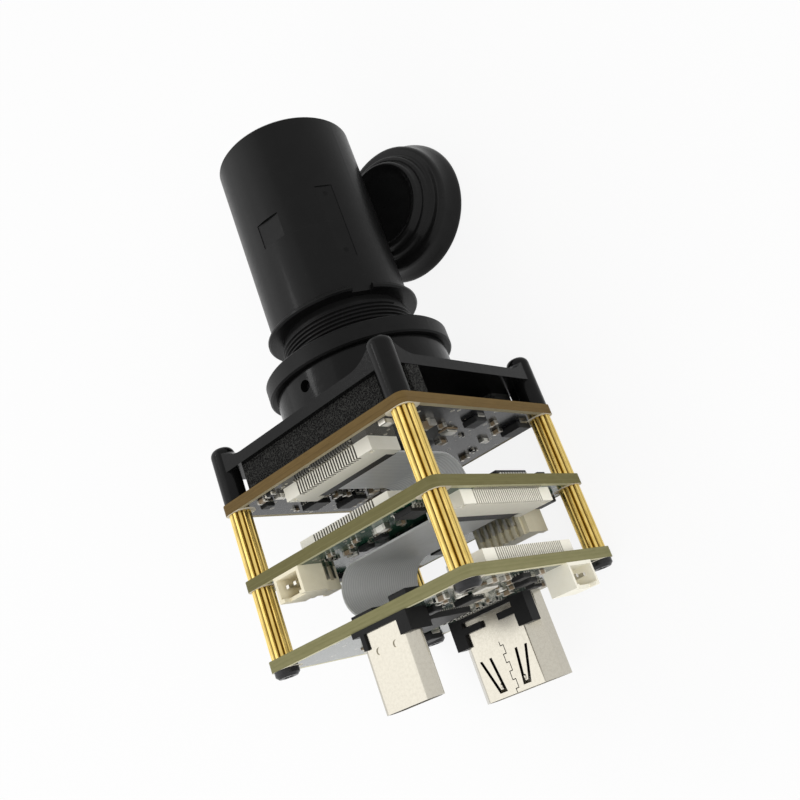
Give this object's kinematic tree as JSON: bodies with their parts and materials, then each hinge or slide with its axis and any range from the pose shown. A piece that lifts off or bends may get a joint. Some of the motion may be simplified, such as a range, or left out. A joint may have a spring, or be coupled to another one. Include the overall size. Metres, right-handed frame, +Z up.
{
  "type": "usb camera module",
  "caption": "Board-stack camera module with a long screw-in lens tube, ribbon cables between boards, USB-C and HDMI sockets and a rubber dust cap beside it.",
  "frame": {"origin": "on the table plane, at the middle of the sensor board's lower edge", "axes": "+Y along the lens axis, away from the boards; +Z up from the table; +X towards the side where the data ribbon's connectors are"},
  "size_m": [0.0377, 0.093, 0.0371],
  "materials": {
    "sensor_board": "black solder mask, brown core at the edges",
    "middle_board": "green solder mask, olive core at the edges",
    "socket_board": "light grey, khaki core at the edges",
    "spacer_brass": "fluted, bright",
    "screw_black": "black oxide",
    "holder_plastic": "black, glossy",
    "barrel_plastic": "black, satin",
    "lens_metal": "black anodised",
    "optical_glass": "coated",
    "sensor_ceramic": "dark ceramic",
    "foam": "open cell foam",
    "ribbon_film": "grey film over fine wires",
    "connector_white": "ivory",
    "connector_black": "black",
    "contact_metal": "tinned",
    "header_beige": "beige",
    "shell_steel": "bright nickel",
    "chip_black": "black epoxy",
    "small_part_grey": "ceramic with tinned ends",
    "cap_rubber": "soft black"
  },
  "bodies": {
    "module": {"button_header_housing": "header_beige", "button_header_pins": "contact_metal", "chips": "chip_black", "corner_screw_left_bottom": "screw_black", "corner_screw_left_top": "screw_black", "corner_screw_right_bottom": "screw_black", "corner_screw_right_top": "screw_black", "data_ribbon_cable": "ribbon_film", "data_ribbon_contacts": "contact_metal", "data_ribbon_housing": "connector_white", "dust_cap": "cap_rubber", "filter_glass": "optical_glass", "foam_strip_bottom": "foam", "foam_strip_top": "foam", "hdmi_base": "connector_black", "hdmi_insert": "connector_black", "hdmi_shell": "shell_steel", "image_ribbon_cable": "ribbon_film", "image_ribbon_contacts": "contact_metal", "image_ribbon_housing": "connector_white", "image_sensor": "sensor_ceramic", "lens_holder": "holder_plastic", "light_header_housing": "header_beige", "light_header_pins": "contact_metal", "lower_spacer_left_bottom": "spacer_brass", "lower_spacer_left_top": "spacer_brass", "lower_spacer_right_bottom": "spacer_brass", "lower_spacer_right_top": "spacer_brass", "middle_board": "middle_board", "output_ribbon_contacts": "contact_metal", "output_ribbon_housing": "connector_white", "power_header_housing": "header_beige", "power_header_pins": "contact_metal", "sensor_board": "sensor_board", "sensor_glass": "optical_glass", "sensor_ribbon_contacts": "contact_metal", "sensor_ribbon_housing": "connector_white", "set_screw": "screw_black", "side_header_housing": "header_beige", "side_header_pins": "contact_metal", "small_parts": "small_part_grey", "socket_board": "socket_board", "upper_spacer_left_bottom": "spacer_brass", "upper_spacer_left_top": "spacer_brass", "upper_spacer_right_bottom": "spacer_brass", "upper_spacer_right_top": "spacer_brass", "usb_base": "connector_black", "usb_insert": "connector_black", "usb_shell": "shell_steel"},
    "lens": {"lens_barrel": "barrel_plastic", "lens_body": "lens_metal", "front_element": "optical_glass", "rear_element": "optical_glass", "front_retainer": "lens_metal"},
    "lock_ring": {"lock_ring": "lens_metal"},
    "data_ribbon_lock": {"data_ribbon_lock": "connector_black"},
    "image_ribbon_lock": {"image_ribbon_lock": "connector_black"},
    "output_ribbon_lock": {"output_ribbon_lock": "connector_black"},
    "sensor_ribbon_lock": {"sensor_ribbon_lock": "connector_black"}
  },
  "joints": [
    {"name": "lens_screw", "type": "hinge", "parent": "module", "child": "lens", "pos_m": [0, 0.02, 0.0185], "axis": [0, 1, 0], "range_deg": [-360, 360]},
    {"name": "lock_ring_turn", "type": "hinge", "parent": "lens", "child": "lock_ring", "pos_m": [0, 0.0152, 0.0185], "axis": [0, 1, 0], "range_deg": [0, 360]},
    {"name": "data_ribbon_lock_slide", "type": "slide", "parent": "module", "child": "data_ribbon_lock", "axis": [-1, 0, 0], "range_m": [0, 0.0009]},
    {"name": "image_ribbon_lock_slide", "type": "slide", "parent": "module", "child": "image_ribbon_lock", "axis": [0, 0, -1], "range_m": [0, 0.0009]},
    {"name": "output_ribbon_lock_slide", "type": "slide", "parent": "module", "child": "output_ribbon_lock", "axis": [-1, 0, 0], "range_m": [0, 0.0009]},
    {"name": "sensor_ribbon_lock_slide", "type": "slide", "parent": "module", "child": "sensor_ribbon_lock", "axis": [0, 0, -1], "range_m": [0, 0.0009]}
  ]
}
